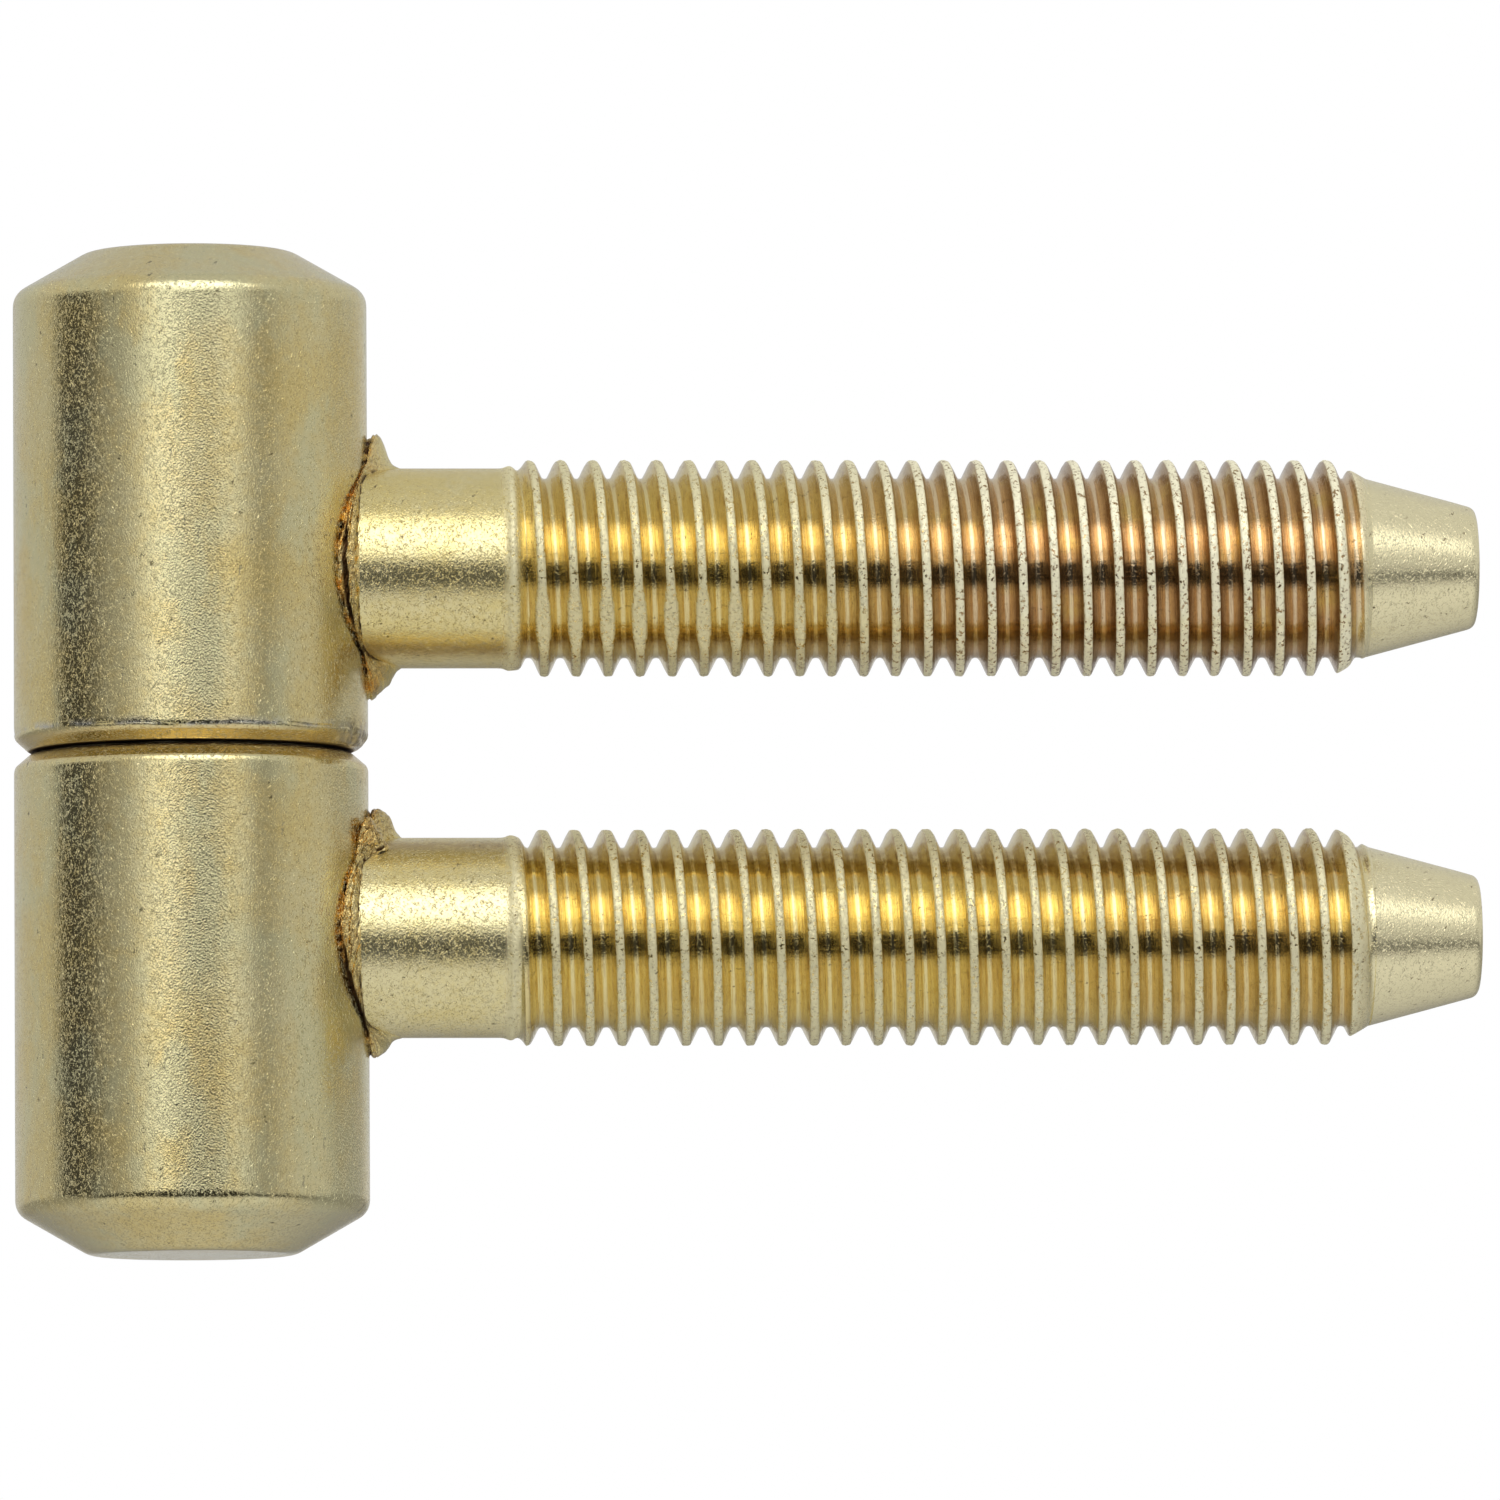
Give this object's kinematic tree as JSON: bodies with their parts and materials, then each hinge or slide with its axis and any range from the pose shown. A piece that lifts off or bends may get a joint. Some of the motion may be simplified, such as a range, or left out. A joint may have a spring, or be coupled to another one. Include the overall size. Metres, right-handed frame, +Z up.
{
  "type": "door hinge",
  "caption": "Lift-off door hinge in yellow-plated steel: turned barrels on a hidden pin, each with a welded, threaded stem that screws into the frame or the door.",
  "frame": {"origin": "on the axis of the frame half's stem, at the start of its threaded length", "axes": "+X along the stems to their tips, +Z up along the hinge axis, +Y across the hinge"},
  "size_m": [0.0663, 0.016, 0.0454],
  "materials": {
    "barrel_plating": "pale yellow-passivated zinc plating, satin",
    "stem_plating": "yellow-passivated zinc plating, bright",
    "weld_plating": "yellow-passivated zinc plating over weld flash, uneven",
    "pin_steel": "ground steel, lightly oiled",
    "ball_steel": "polished bearing steel"
  },
  "bodies": {
    "frame_half": {"frame_barrel": "barrel_plating", "frame_stem": "stem_plating", "frame_weld_collar": "weld_plating", "hinge_pin": "pin_steel"},
    "ball": {"thrust_ball": "ball_steel"},
    "leaf_half": {"leaf_barrel": "barrel_plating", "leaf_stem": "stem_plating", "leaf_weld_collar": "weld_plating"}
  },
  "joints": [
    {"name": "leaf_swing", "type": "hinge", "parent": "frame_half", "child": "ball", "pos_m": [-0.0143, 0, 0.00827], "axis": [0, 0, 1], "continuous": true},
    {"name": "leaf_lift", "type": "slide", "parent": "ball", "child": "leaf_half", "axis": [0, 0, 1], "range_m": [0, 0.018]}
  ]
}
